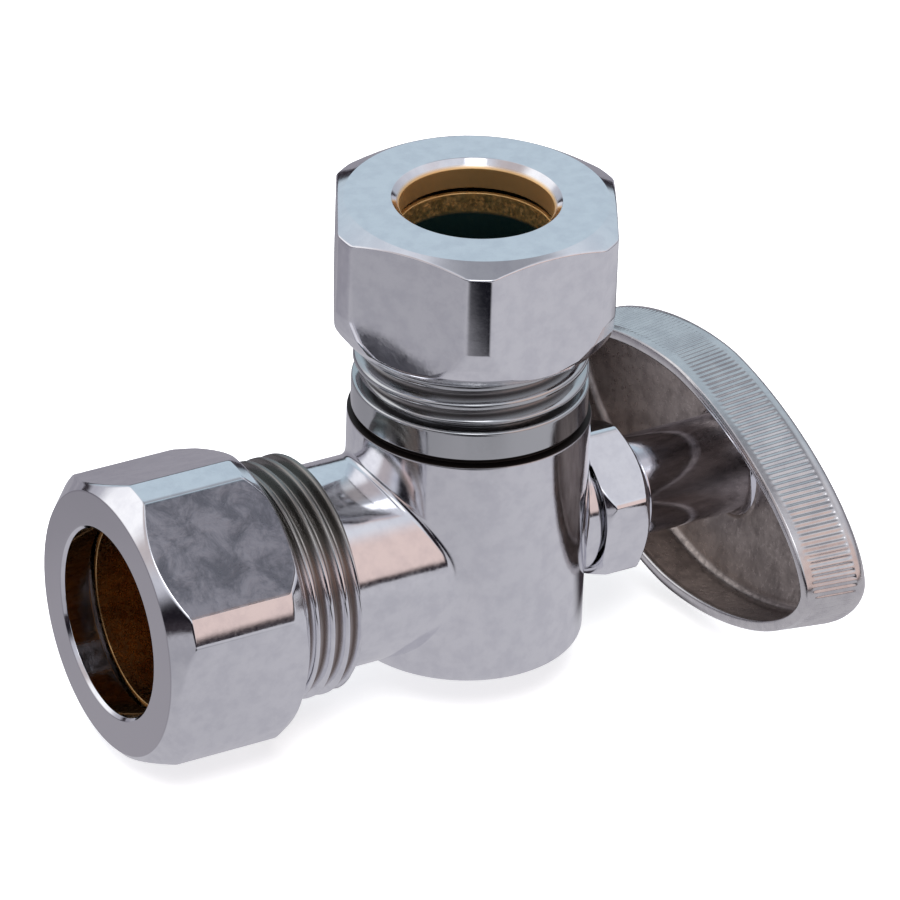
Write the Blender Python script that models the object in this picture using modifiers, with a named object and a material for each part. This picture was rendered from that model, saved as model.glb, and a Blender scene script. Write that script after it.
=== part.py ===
"""Angle stop valve: compression inlet, compression outlet at a right angle,
multi-turn stem with an oval handle opposite the inlet.

World frame, in metres, +Z up.  The origin is the centre of the inlet tube
stop, where the end of the supply pipe seats.  The inlet opens towards -X, the
stem and handle point to +X, and the outlet opens towards +Z.
"""
import math

import bmesh
import bpy
from mathutils import Matrix, Vector

MM = 0.001

# ----------------------------------------------------------------------------
# Driving dimensions, millimetres.  Lengths along the stem axis are measured
# from the vertical axis of the barrel; AXIS_X puts that axis into the world.
# ----------------------------------------------------------------------------
AXIS_X = 15.5             # barrel axis, from the inlet tube stop

BARREL_R = 10.3
BARREL_BOTTOM = -8.95
BARREL_TOP = 11.95
GROOVE_R = 9.6
GROOVE_TOP = 12.5
COLLAR_R = 10.0
COLLAR_TOP = 15.1
NECK_TOP = 23.6
OUT_PITCH = 1.8
OUT_CREST_R = 9.9
OUT_ROOT_R = 8.85
OUT_TUBE_R = 6.45         # 12.7 mm tube
OUT_STOP = 16.5
OUT_BORE_R = 4.0

BRANCH_R = 8.8
BRANCH_END = -24.0
IN_THREAD_END = -15.0
IN_PITCH = 1.411          # 18 threads per inch
IN_CREST_R = 10.3
IN_ROOT_R = 9.35
IN_TUBE_R = 8.1           # 15.9 mm pipe
IN_BORE_R = 5.6
SEAT_BORE_R = 4.5
SEAT_FACE = -5.2
CHAMBER_R = 6.4
CHAMBER_BACK = -6.4
CHAMBER_FRONT = 4.2

BOSS_R = 5.9
BOSS_END = 10.05
PACK_NECK_END = 12.4
PACK_PITCH = 1.0
PACK_CREST_R = 5.2
PACK_ROOT_R = 4.65
PACK_POCKET_R = 4.1
PACK_POCKET = 10.2

STEM_PITCH = 1.6
STEM_CREST_R = 3.7
STEM_ROOT_R = 3.0
STEM_R = 2.5
STEM_BACK = -0.3
STEM_THREAD = (0.4, 6.2)
STEM_SQUARE = 3.4
STEM_END = 23.6

THREAD_GAP = 0.2          # radial play of every thread pair

IN_NUT = (-34.2, -21.2)   # front face, back face
IN_NUT_AF = 23.8
IN_NUT_TURN = -22.1       # hexagon corner, degrees from +Y towards +Z
IN_NUT_CORNER_R = 13.05
OUT_NUT = (20.2, 31.88)
OUT_NUT_AF = 23.2
OUT_NUT_TURN = -118.5     # hexagon corner, degrees from +X towards +Y
OUT_NUT_CORNER_R = 12.8
PACK_NUT = (10.35, 14.8)
PACK_NUT_AF = 12.4
PACK_NUT_TURN = 39.0       # hexagon corner, degrees from +Y towards +Z

HANDLE_BACK = 20.2
HANDLE_SHOULDER = 25.65
HANDLE_FRONT = 28.4
HANDLE_A = (22.3, 22.95)  # half length at the back edge and at the shoulder
HANDLE_B = (10.95, 11.5)  # half width, same places
HANDLE_TILT = 1.6         # degrees, long axis from +Y towards +Z
HANDLE_POWER = 1.7        # superellipse exponent of the outline
HANDLE_WALL = 1.1
HUB_R = 4.4
HUB_BACK = 15.6

RINGS = 40                # facets round the large turned pieces
THREAD_SEGS = 20

# ----------------------------------------------------------------------------
# Clean file, collections, materials
# ----------------------------------------------------------------------------
for ob in list(bpy.data.objects):
    bpy.data.objects.remove(ob, do_unlink=True)

PARTS = bpy.data.collections.new("angle_stop_valve")
CUTTERS = bpy.data.collections.new("cutters")
bpy.context.scene.collection.children.link(PARTS)
bpy.context.scene.collection.children.link(CUTTERS)


def material(name, colour, roughness, metallic):
    mat = bpy.data.materials.new(name)
    mat.use_nodes = True
    shader = mat.node_tree.nodes["Principled BSDF"]
    shader.inputs["Base Color"].default_value = (*colour, 1.0)
    shader.inputs["Roughness"].default_value = roughness
    shader.inputs["Metallic"].default_value = metallic
    mat.diffuse_color = (*colour, 1.0)
    return mat


CHROME = (0.62, 0.63, 0.66)
BRASS = (0.66, 0.47, 0.22)


# ----------------------------------------------------------------------------
# Modelling helpers
# ----------------------------------------------------------------------------
def add_object(name, mesh, cutter=False):
    ob = bpy.data.objects.new(name, mesh)
    (CUTTERS if cutter else PARTS).objects.link(ob)
    if cutter:
        ob.hide_render = True
        ob.display_type = "WIRE"
    return ob


def place(ob, axis, at=0.0, turn=0.0):
    """Stand local +Z along the world axis: 'Z' on the barrel axis, 'X' on the
    stem axis.  at moves along that axis, turn spins about it (degrees)."""
    if axis == "Z":
        ob.location = (AXIS_X * MM, 0.0, at * MM)
        ob.rotation_euler = (0.0, 0.0, math.radians(turn))
    else:
        # local Z to +X, local X to +Y, local Y to +Z
        base = Matrix(((0, 0, 1), (1, 0, 0), (0, 1, 0))).to_4x4()
        spin = Matrix.Rotation(math.radians(turn), 4, "Z")
        ob.matrix_world = Matrix.Translation(((AXIS_X + at) * MM, 0.0, 0.0)) @ base @ spin
    return ob


def turned(name, profile, axis, closed=False, steps=RINGS, cutter=False):
    """Profile of (radius, height) points in mm, outer side running downwards."""
    mesh = bpy.data.meshes.new(name)
    verts = [(r * MM, 0.0, h * MM) for r, h in profile]
    edges = [(i, i + 1) for i in range(len(verts) - 1)]
    if closed:
        edges.append((len(verts) - 1, 0))
    mesh.from_pydata(verts, edges, [])
    ob = add_object(name, mesh, cutter)
    place(ob, axis)
    screw = ob.modifiers.new("turn", "SCREW")
    screw.axis = "Z"
    screw.angle = 2.0 * math.pi
    screw.steps = steps
    screw.render_steps = steps
    screw.use_merge_vertices = True
    screw.merge_threshold = 0.00001
    return ob


def helix(name, root_r, crest_r, pitch, start, end, axis, phase=0.0,
          segs=THREAD_SEGS, cutter=True):
    """Right-handed thread surface: one root row and one crest row a pitch,
    both running along the helix, closed by a fan at each end."""
    bm = bmesh.new()
    rows = 2 * int(math.ceil((end - start) / pitch)) + 3
    grid = []
    for j in range(rows):
        ring = []
        for i in range(segs):
            ang = 2.0 * math.pi * i / segs
            h = start + pitch * (j / 2.0 + i / segs - 1.0)
            r = crest_r if j % 2 else root_r
            ring.append(bm.verts.new((r * MM * math.cos(ang), r * MM * math.sin(ang), h * MM)))
        grid.append(ring)
    for j in range(rows - 1):
        for i in range(segs):
            nxt = i + 1
            a, d = grid[j][i], grid[j + 1][i]
            if nxt < segs:
                b, c = grid[j][nxt], grid[j + 1][nxt]
            elif j + 3 < rows:
                b, c = grid[j + 2][0], grid[j + 3][0]
            else:
                continue
            bm.faces.new((a, b, c, d))
    low = grid[0] + [grid[2][0], grid[1][0]]
    high = [grid[rows - 1][0]] + grid[rows - 1][1:] + []
    low_c = bm.verts.new((0.0, 0.0, (start - 1.5 * pitch) * MM))
    for a, b in zip(low, low[1:] + low[:1]):
        bm.faces.new((b, a, low_c))
    # the upper rim: last full row, then the step down along the seam
    top_rim = []
    last = rows - 1
    top_rim.extend(grid[last][i] for i in range(segs))
    step = [grid[last - 2][segs - 1], grid[last - 1][segs - 1]]
    bm.verts.ensure_lookup_table()
    bm.normal_update()
    rim_edges = [e for e in bm.edges if len(e.link_faces) == 1]
    high_c = bm.verts.new((0.0, 0.0, (start + pitch * (rows / 2.0 + 0.5)) * MM))
    for e in rim_edges:
        face = e.link_faces[0]
        loop = [lp for lp in face.loops if lp.edge == e][0]
        a, b = loop.vert, loop.link_loop_next.vert
        bm.faces.new((b, a, high_c))
    spin = Matrix.Rotation(math.radians(phase), 4, "Z")
    bmesh.ops.transform(bm, matrix=spin, verts=bm.verts)
    bmesh.ops.recalc_face_normals(bm, faces=bm.faces)
    mesh = bpy.data.meshes.new(name)
    bm.to_mesh(mesh)
    bm.free()
    ob = add_object(name, mesh, cutter)
    place(ob, axis)
    return ob


def hexagon(name, across_flats, low, high, axis, turn, cutter=False):
    bm = bmesh.new()
    radius = across_flats / 2.0 / math.cos(math.pi / 6.0) * MM
    bmesh.ops.create_cone(bm, cap_ends=True, cap_tris=False, segments=6,
                          radius1=radius, radius2=radius, depth=(high - low) * MM)
    # create_cone starts its first corner on +X
    bmesh.ops.translate(bm, vec=(0.0, 0.0, (high + low) / 2.0 * MM), verts=bm.verts)
    first = max(bm.verts, key=lambda v: v.co.x)
    off = math.atan2(first.co.y, first.co.x)
    bmesh.ops.rotate(bm, cent=(0, 0, 0), matrix=Matrix.Rotation(-off, 3, "Z"), verts=bm.verts)
    mesh = bpy.data.meshes.new(name)
    bm.to_mesh(mesh)
    bm.free()
    ob = add_object(name, mesh, cutter)
    place(ob, axis, 0.0, turn)
    return ob


def block(name, size, centre, cutter=False):
    """Axis-aligned box, sizes and centre in mm, centre from the barrel axis."""
    bm = bmesh.new()
    bmesh.ops.create_cube(bm, size=1.0)
    bmesh.ops.scale(bm, vec=[s * MM for s in size], verts=bm.verts)
    mesh = bpy.data.meshes.new(name)
    bm.to_mesh(mesh)
    bm.free()
    ob = add_object(name, mesh, cutter)
    ob.location = ((AXIS_X + centre[0]) * MM, centre[1] * MM, centre[2] * MM)
    return ob


def boolean(ob, other, kind):
    bpy.context.view_layer.update()
    mod = ob.modifiers.new(kind.lower(), "BOOLEAN")
    mod.operation = kind
    mod.object = other
    mod.solver = "EXACT"
    return mod


def bake(ob, sharp=35.0):
    """Turn the modifier stack into the object's own mesh."""
    bpy.context.view_layer.update()
    graph = bpy.context.evaluated_depsgraph_get()
    mesh = bpy.data.meshes.new_from_object(ob.evaluated_get(graph))
    ob.modifiers.clear()
    ob.data = mesh
    mesh.name = ob.name
    mesh.shade_smooth()
    mesh.set_sharp_from_angle(angle=math.radians(sharp))
    return ob


def dress(ob, mat):
    ob.data.materials.clear()
    ob.data.materials.append(mat)
    return ob


def set_origin(ob, point):
    """Move the object's origin to a world point without moving its shape."""
    bpy.context.view_layer.update()
    shift = ob.matrix_world.inverted() @ Vector([c * MM for c in point])
    ob.data.transform(Matrix.Translation(-shift))
    ob.matrix_world = ob.matrix_world @ Matrix.Translation(shift)


def thread(name, root_r, crest_r, pitch, low, high, axis, low_lead, high_lead):
    """External thread trimmed to its length; each lead is how far the crest
    takes to rise from below the root at that end."""
    ob = helix(name, root_r, crest_r, pitch, low - pitch, high + pitch, axis)
    trim = turned(name + "_trim",
                  [(0.0, high), (root_r - 0.35, high), (crest_r + 0.2, high - high_lead),
                   (crest_r + 0.2, low + low_lead), (root_r - 0.35, low), (0.0, low)],
                  axis, steps=RINGS + 4, cutter=True)
    boolean(ob, trim, "INTERSECT")
    return bake(ob)


# ----------------------------------------------------------------------------
# Valve body: barrel and outlet neck, inlet branch, packing neck
# ----------------------------------------------------------------------------
body = turned("valve_body", [
    (0.0, COLLAR_TOP + 2.0), (OUT_ROOT_R - 1.0, COLLAR_TOP + 2.0), (OUT_ROOT_R - 1.0, COLLAR_TOP + 0.9),
    (OUT_ROOT_R - 0.2, COLLAR_TOP + 0.6), (OUT_ROOT_R - 0.2, COLLAR_TOP), (COLLAR_R - 0.35, COLLAR_TOP),
    (COLLAR_R, COLLAR_TOP - 0.35),
    (COLLAR_R, GROOVE_TOP + 0.15), (GROOVE_R, GROOVE_TOP - 0.1),
    (GROOVE_R, BARREL_TOP + 0.15), (BARREL_R - 0.2, BARREL_TOP), (BARREL_R, BARREL_TOP - 0.25),
    (BARREL_R, BARREL_BOTTOM + 0.7), (BARREL_R - 0.2, BARREL_BOTTOM + 0.2),
    (BARREL_R - 0.7, BARREL_BOTTOM), (0.0, BARREL_BOTTOM)], "Z")

branch = turned("branch_solid", [
    (0.0, 0.0), (BRANCH_R, 0.0), (BRANCH_R, IN_THREAD_END - 0.35), (BRANCH_R - 0.5, IN_THREAD_END - 0.7),
    (BRANCH_R - 0.5, IN_THREAD_END - 2.0), (0.0, IN_THREAD_END - 2.0)], "X", cutter=True)
neck = turned("packing_neck_solid", [
    (0.0, BOSS_END + 0.9), (PACK_ROOT_R - 0.5, BOSS_END + 0.9), (PACK_ROOT_R - 0.3, BOSS_END + 0.45),
    (PACK_ROOT_R, BOSS_END + 0.25), (PACK_ROOT_R, BOSS_END), (BOSS_R - 0.3, BOSS_END), (BOSS_R, BOSS_END - 0.3),
    (BOSS_R, 0.5), (0.0, 0.5)], "X", steps=36, cutter=True)
for extra in (branch, neck):
    boolean(body, extra, "UNION")
bake(body)

for extra in (
        thread("inlet_thread_solid", IN_ROOT_R, IN_CREST_R, IN_PITCH, BRANCH_END, IN_THREAD_END, "X", 1.3, 0.7),
        thread("outlet_thread_solid", OUT_ROOT_R - 0.1, OUT_CREST_R, OUT_PITCH, COLLAR_TOP + 0.4, NECK_TOP,
               "Z", 0.8, 1.5),
        thread("packing_thread_solid", PACK_ROOT_R - 0.1, PACK_CREST_R, PACK_PITCH,
               BOSS_END + 0.2, PACK_NECK_END, "X", 0.5, 1.0)):
    boolean(body, extra, "UNION")
    bake(body)

inlet_way = turned("inlet_way", [
    (0.0, SEAT_FACE + 1.2), (SEAT_BORE_R, SEAT_FACE + 1.2), (SEAT_BORE_R, -7.0), (IN_BORE_R, -8.1),
    (IN_BORE_R, -AXIS_X), (IN_TUBE_R, -AXIS_X), (IN_TUBE_R, BRANCH_END + 2.0),
    (IN_TUBE_R + 0.9, BRANCH_END), (IN_TUBE_R + 0.9, BRANCH_END - 1.0), (0.0, BRANCH_END - 1.0)],
    "X", cutter=True)
chamber = turned("chamber", [
    (0.0, CHAMBER_FRONT), (CHAMBER_R, CHAMBER_FRONT), (CHAMBER_R, CHAMBER_BACK),
    (SEAT_BORE_R + 1.1, CHAMBER_BACK), (SEAT_BORE_R + 0.8, SEAT_FACE), (0.0, SEAT_FACE)],
    "X", steps=36, cutter=True)
outlet_way = turned("outlet_way", [
    (0.0, NECK_TOP + 1.0), (OUT_TUBE_R + 1.45, NECK_TOP + 1.0), (OUT_TUBE_R + 1.45, NECK_TOP),
    (OUT_TUBE_R, NECK_TOP - 2.0), (OUT_TUBE_R, OUT_STOP), (OUT_BORE_R, OUT_STOP),
    (OUT_BORE_R, 2.0), (0.0, 2.0)], "Z", steps=36, cutter=True)
stem_hole = turned("stem_hole", [
    (0.0, PACK_NECK_END + 1.0), (PACK_POCKET_R, PACK_NECK_END + 1.0), (PACK_POCKET_R, PACK_POCKET), (STEM_CREST_R + THREAD_GAP, PACK_POCKET),
    (STEM_CREST_R + THREAD_GAP, CHAMBER_FRONT - 1.0), (0.0, CHAMBER_FRONT - 1.0)], "X", steps=36, cutter=True)
for way in (inlet_way, chamber, outlet_way, stem_hole):
    boolean(body, way, "DIFFERENCE")
    bake(body)
dress(body, material("body_chrome", CHROME, 0.12, 1.0))


# ----------------------------------------------------------------------------
# Compression nuts and their ferrules
# ----------------------------------------------------------------------------
def nut(name, across_flats, low, high, axis, turn, outline, bore, steps):
    """Hexagon turned to outline and bored.  The bore clears the mating
    thread's crests, so the thread form itself is only on the male pieces."""
    ob = hexagon(name, across_flats, low, high, axis, turn)
    boolean(ob, turned(name + "_outline", outline, axis, steps=steps, cutter=True), "INTERSECT")
    bake(ob)
    boolean(ob, turned(name + "_bore", bore, axis, steps=steps, cutter=True), "DIFFERENCE")
    return bake(ob)


f, b = IN_NUT
c = IN_NUT_CORNER_R
inlet_nut = nut("inlet_compression_nut", IN_NUT_AF, f, b, "X", IN_NUT_TURN, [
    (0.0, b + 1.0), (11.4 - 1.0, b + 1.0), (11.4, b), (12.4, b - 0.75), (c, b - 2.0), (c, f + (c - 11.32)),
    (11.32, f), (11.32 - 1.0, f - 1.0), (0.0, f - 1.0)], [
    (0.0, b + 1.0), (IN_CREST_R + 0.5, b + 1.0), (IN_CREST_R + 0.5, b), (IN_CREST_R + THREAD_GAP, b - 0.3),
    (IN_CREST_R + THREAD_GAP, -29.3), (9.4, -29.5), (9.4, -30.4), (8.5, -31.4), (IN_TUBE_R, -31.6), (IN_TUBE_R, f + 0.3), (IN_TUBE_R + 0.3, f),
    (IN_TUBE_R + 0.3, f - 1.0), (0.0, f - 1.0)], RINGS)
dress(inlet_nut, material("inlet_nut_chrome", CHROME, 0.14, 1.0))

f, b = OUT_NUT[1], OUT_NUT[0]
c = OUT_NUT_CORNER_R
outlet_nut = nut("outlet_compression_nut", OUT_NUT_AF, b, f, "Z", OUT_NUT_TURN, [
    (0.0, f + 1.0), (11.03 - 2.0, f + 1.0), (11.03, f), (c, f - 0.88), (c, b + 3.7), (12.45, b + 2.1), (12.0, b + 1.0),
    (11.2, b), (11.2 - 1.0, b - 1.0), (0.0, b - 1.0)], [
    (0.0, f + 1.0), (7.15, f + 1.0), (7.15, f), (OUT_TUBE_R, f - 0.7), (OUT_TUBE_R, 29.4),
    (6.9, 29.2), (7.75, 28.35), (7.75, 27.3), (OUT_CREST_R + THREAD_GAP, 27.1),
    (OUT_CREST_R + THREAD_GAP, b + 0.2), (10.3, b), (10.3, b - 1.0), (0.0, b - 1.0)], RINGS)
dress(outlet_nut, material("outlet_nut_chrome", CHROME, 0.12, 1.0))


def ferrule(name, inner, outer, low, high, axis):
    mid = (low + high) / 2.0
    ob = turned(name, [
        (outer - 0.6, high), (outer, mid + 0.9), (outer, mid - 0.9), (outer - 0.6, low),
        (inner, low), (inner, high)], axis, closed=True, steps=36)
    return bake(ob, 20.0)


inlet_ferrule = ferrule("inlet_ferrule", IN_TUBE_R - 0.05, 9.05, -31.0, -26.2, "X")
dress(inlet_ferrule, material("inlet_ferrule_brass", BRASS, 0.3, 1.0))
outlet_ferrule = ferrule("outlet_ferrule", OUT_TUBE_R - 0.03, 7.4, 24.3, 28.9, "Z")
dress(outlet_ferrule, material("outlet_ferrule_brass", BRASS, 0.3, 1.0))

# ----------------------------------------------------------------------------
# Packing nut, packing and follower
# ----------------------------------------------------------------------------
low, high = PACK_NUT
pack_nut = nut("packing_nut", PACK_NUT_AF, low, high, "X", PACK_NUT_TURN, [
    (0.0, high + 1.0), (5.95 - 1.0, high + 1.0), (5.95, high), (7.05, high - 0.8), (7.05, low + 0.7),
    (6.35, low), (5.6, low - 1.0), (0.0, low - 1.0)], [
    (0.0, high + 1.0), (STEM_R + 0.3, high + 1.0), (STEM_R + 0.3, 13.5), (4.7, 13.5), (PACK_CREST_R + THREAD_GAP, 13.2),
    (PACK_CREST_R + THREAD_GAP, low - 1.0), (0.0, low - 1.0)], 36)
dress(pack_nut, material("packing_nut_chrome", CHROME, 0.12, 1.0))

packing = bake(turned("stem_packing", [
    (3.8, 12.2), (3.8, 10.5), (2.8, 10.5), (2.8, 12.5), (3.5, 12.5)], "X", closed=True, steps=28))
dress(packing, material("packing_graphite", (0.05, 0.05, 0.055), 0.8, 0.0))
follower = bake(turned("packing_follower", [
    (3.8, 13.2), (3.8, 12.8), (2.8, 12.8), (2.8, 13.2)], "X", closed=True, steps=28))
dress(follower, material("follower_brass", BRASS, 0.35, 1.0))

# ----------------------------------------------------------------------------
# Stem, swivelling seat disc, washer and screw
# ----------------------------------------------------------------------------
t0, t1 = STEM_THREAD
stem = turned("stem", [
    (0.0, 17.0), (STEM_R, 17.0), (STEM_R, t0 + 1.5), (STEM_ROOT_R - 0.5, t0 + 1.2),
    (STEM_ROOT_R + 0.1, t0 + 0.6), (STEM_ROOT_R + 0.1, t0), (STEM_ROOT_R - 0.2, STEM_BACK), (0.0, STEM_BACK)],
    "X", steps=28)
square = block("stem_square", (STEM_END - 16.2, STEM_SQUARE, STEM_SQUARE),
               ((STEM_END + 16.2) / 2.0, 0.0, 0.0), cutter=True)
bevel = square.modifiers.new("corners", "BEVEL")
bevel.width = 0.35 * MM
bevel.segments = 1
bevel.limit_method = "ANGLE"
boolean(stem, square, "UNION")
bake(stem)
# chamber wall and body thread share one helix, so the stem meshes with it
stem_helix = helix("stem_thread_solid", STEM_ROOT_R, STEM_CREST_R, STEM_PITCH,
                   CHAMBER_FRONT - 1.6 - 3 * STEM_PITCH, PACK_NECK_END + 1.6, "X", segs=20)
stem_helix_trim = turned("stem_thread_solid_trim", [
    (0.0, t1), (STEM_R - 0.4, t1), (STEM_CREST_R + 0.2, t1 - 1.5),
    (STEM_CREST_R + 0.2, t0 + 0.9), (STEM_ROOT_R - 0.3, t0 + 0.1), (0.0, t0 + 0.1)], "X", steps=32, cutter=True)
boolean(stem_helix, stem_helix_trim, "INTERSECT")
bake(stem_helix)
boolean(stem, stem_helix, "UNION")
bake(stem)
stem_socket = turned("stem_socket", [
    (0.0, 3.2), (1.8, 3.2), (1.8, 2.65), (2.25, 2.65), (2.25, 1.35), (1.8, 1.35), (1.8, -1.37), (0.0, -1.37)],
    "X", steps=24, cutter=True)
stem_tap = turned("stem_tap", [(0.0, STEM_END + 1.0), (1.25, STEM_END + 1.0), (1.25, 17.5), (0.0, 16.8)],
                  "X", steps=16, cutter=True)
for cut in (stem_socket, stem_tap):
    place(cut, "X", 0.0, 5.0)
    boolean(stem, cut, "DIFFERENCE")
    bake(stem)
dress(stem, material("stem_brass", BRASS, 0.25, 1.0))

holder = turned("seat_disc_holder", [
    (0.0, 2.9), (1.2, 2.9), (1.5, 2.6), (1.2, 2.5), (1.2, 1.5), (1.5, 1.4), (1.5, -0.6), (5.8, -0.6),
    (6.1, -0.9), (6.1, -4.3), (5.6, -4.3), (5.6, -2.1), (0.0, -2.1)], "X", steps=32)
holder_tap = turned("holder_tap", [(0.0, 1.0), (0.9, 1.0), (0.9, -3.0), (0.0, -3.0)], "X", steps=12, cutter=True)
boolean(holder, holder_tap, "DIFFERENCE")
bake(holder)
dress(holder, material("holder_brass", BRASS, 0.28, 1.0))

washer = bake(turned("seat_washer", [
    (5.3, -2.4), (5.3, -4.6), (5.0, -4.9), (1.2, -4.9), (1.2, -2.4)], "X", closed=True, steps=32))
dress(washer, material("seat_rubber", (0.03, 0.03, 0.03), 0.7, 0.0))

screw = turned("seat_washer_screw", [
    (0.0, 0.6), (0.6, 0.6), (0.6, -5.2), (2.8, -5.2), (2.8, -5.7), (2.3, -6.4), (0.0, -6.4)], "X", steps=20)
boolean(screw, block("seat_screw_slot", (1.2, 0.8, 7.0), (-6.4, 0.0, 0.0), cutter=True), "DIFFERENCE")
bake(screw)
dress(screw, material("seat_screw_brass", BRASS, 0.3, 1.0))

ring = bmesh.new()
ring_mesh = bpy.data.meshes.new("disc_retaining_ring")
SEG_MAJOR, SEG_MINOR = 24, 6
rows = []
for i in range(SEG_MAJOR - 2):          # the ring is split: it stops short of a full turn
    ang = 2.0 * math.pi * i / SEG_MAJOR
    row = []
    for k in range(SEG_MINOR):
        phi = 2.0 * math.pi * k / SEG_MINOR
        rr = 1.75 + 0.2 * math.cos(phi)
        row.append(ring.verts.new((rr * MM * math.cos(ang), rr * MM * math.sin(ang),
                                   (2.0 + 0.2 * math.sin(phi)) * MM)))
    rows.append(row)
for r0, r1 in zip(rows, rows[1:]):
    for k in range(SEG_MINOR):
        ring.faces.new((r0[k], r1[k], r1[(k + 1) % SEG_MINOR], r0[(k + 1) % SEG_MINOR]))
ring.faces.new(rows[0])
ring.faces.new(list(reversed(rows[-1])))
bmesh.ops.recalc_face_normals(ring, faces=ring.faces)
ring.to_mesh(ring_mesh)
ring.free()
retainer = add_object("disc_retaining_ring", ring_mesh)
place(retainer, "X")
bake(retainer)
dress(retainer, material("retainer_steel", (0.5, 0.5, 0.52), 0.3, 1.0))


# ----------------------------------------------------------------------------
# Handle: oval dish open towards the body, with a hub
# ----------------------------------------------------------------------------
def oval_ring(bm, at, a, b_, count):
    ring_verts = []
    for i in range(count):
        t = 2.0 * math.pi * (i + 0.5) / count
        ct, st = math.cos(t), math.sin(t)
        u = a * math.copysign(abs(ct) ** (2.0 / HANDLE_POWER), ct)
        w = b_ * math.copysign(abs(st) ** (2.0 / HANDLE_POWER), st)
        ring_verts.append(bm.verts.new((u * MM, w * MM, at * MM)))
    return ring_verts


def oval_solid(name, sections, cutter, count=52):
    """Loft through oval sections (height, half length, half width)."""
    bm = bmesh.new()
    rings = [oval_ring(bm, *section, count) for section in sections]
    for r0, r1 in zip(rings, rings[1:]):
        for i in range(count):
            j = (i + 1) % count
            bm.faces.new((r0[i], r0[j], r1[j], r1[i]))
    for ring_verts, height in ((rings[0], sections[0][0]), (rings[-1], sections[-1][0])):
        centre = bm.verts.new((0.0, 0.0, height * MM))
        for i in range(count):
            bm.faces.new((ring_verts[i], ring_verts[(i + 1) % count], centre))
    bmesh.ops.recalc_face_normals(bm, faces=bm.faces)
    mesh = bpy.data.meshes.new(name)
    bm.to_mesh(mesh)
    bm.free()
    ob = add_object(name, mesh, cutter)
    place(ob, "X", 0.0, HANDLE_TILT)
    return ob


def dome(a, b_, start, rise, wall, rows_):
    out = []
    for k in range(rows_):
        t = k / rows_
        scale = 1.0 - 0.94 * t
        height = start + rise * (1.0 - scale ** 2.2)
        out.append((height, (a - wall) * scale, (b_ - wall) * scale))
    return out


w = HANDLE_WALL
handle = oval_solid("handle", [
    (HANDLE_BACK, HANDLE_A[0] - 0.15, HANDLE_B[0] - 0.15),
    (HANDLE_BACK + 0.25, HANDLE_A[0], HANDLE_B[0]),
    (HANDLE_SHOULDER - 0.5, HANDLE_A[1], HANDLE_B[1]),
    (HANDLE_SHOULDER + 0.1, HANDLE_A[1] - 0.15, HANDLE_B[1] - 0.15),
    (HANDLE_SHOULDER + 0.55, HANDLE_A[1] - 0.7, HANDLE_B[1] - 0.7),
] + dome(HANDLE_A[1], HANDLE_B[1], HANDLE_SHOULDER + 0.8, HANDLE_FRONT - HANDLE_SHOULDER - 0.8, 1.5, 4), False)
dish = oval_solid("handle_dish", [
    (HANDLE_BACK - 1.0, HANDLE_A[0] - w, HANDLE_B[0] - w),
    (HANDLE_BACK + 0.1, HANDLE_A[0] - w, HANDLE_B[0] - w),
    (HANDLE_SHOULDER - 1.4, HANDLE_A[1] - w - 0.1, HANDLE_B[1] - w - 0.1),
    (HANDLE_SHOULDER - 0.9, HANDLE_A[1] - w - 0.7, HANDLE_B[1] - w - 0.7),
] + dome(HANDLE_A[1], HANDLE_B[1], HANDLE_SHOULDER - 0.7, 1.6, 2.5, 3), True)
boolean(handle, dish, "DIFFERENCE")
bake(handle)
hub = turned("hub_solid", [
    (0.0, 26.6), (HUB_R, 26.6), (HUB_R, HUB_BACK + 0.3), (HUB_R - 0.3, HUB_BACK), (0.0, HUB_BACK)],
    "X", steps=32, cutter=True)
boolean(handle, hub, "UNION")
bake(handle)
hub_bore = turned("hub_bore", [
    (0.0, 29.5), (3.7, 29.5), (3.7, 25.2), (1.5, 25.2), (1.5, 20.0), (0.0, 20.0)], "X", steps=20, cutter=True)
hub_mouth = turned("hub_mouth", [
    (0.0, 17.3), (STEM_R + 0.3, 17.3), (STEM_R + 0.3, 15.0), (0.0, 15.0)], "X", steps=24, cutter=True)
hub_square = block("hub_square", (24.0 - 15.2, STEM_SQUARE + 0.6, STEM_SQUARE + 0.6),
                   ((24.0 + 15.2) / 2.0, 0.0, 0.0), cutter=True)
for cut in (hub_bore, hub_square, hub_mouth):
    boolean(handle, cut, "DIFFERENCE")
    bake(handle, 40.0)
dress(handle, material("handle_chrome", CHROME, 0.16, 1.0))

lock_washer = bake(turned("handle_lock_washer", [
    (3.3, 26.1), (3.3, 25.5), (1.4, 25.5), (1.4, 26.1)], "X", closed=True, steps=24))
dress(lock_washer, material("lock_washer_steel", (0.5, 0.5, 0.52), 0.35, 1.0))
handle_screw = turned("handle_screw", [
    (0.0, 28.3), (2.0, 28.1), (3.0, 27.5), (3.3, 26.9), (3.3, 26.4), (0.95, 26.4), (0.95, 18.4), (0.6, 18.0),
    (0.0, 18.0)], "X", steps=20)
for k, size in enumerate(((1.4, 0.9, 4.2), (1.4, 4.2, 0.9))):
    boolean(handle_screw, block("handle_screw_cross_%d" % k, size, (28.2, 0.0, 0.0), cutter=True), "DIFFERENCE")
bake(handle_screw)
dress(handle_screw, material("handle_screw_chrome", CHROME, 0.2, 1.0))

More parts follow.
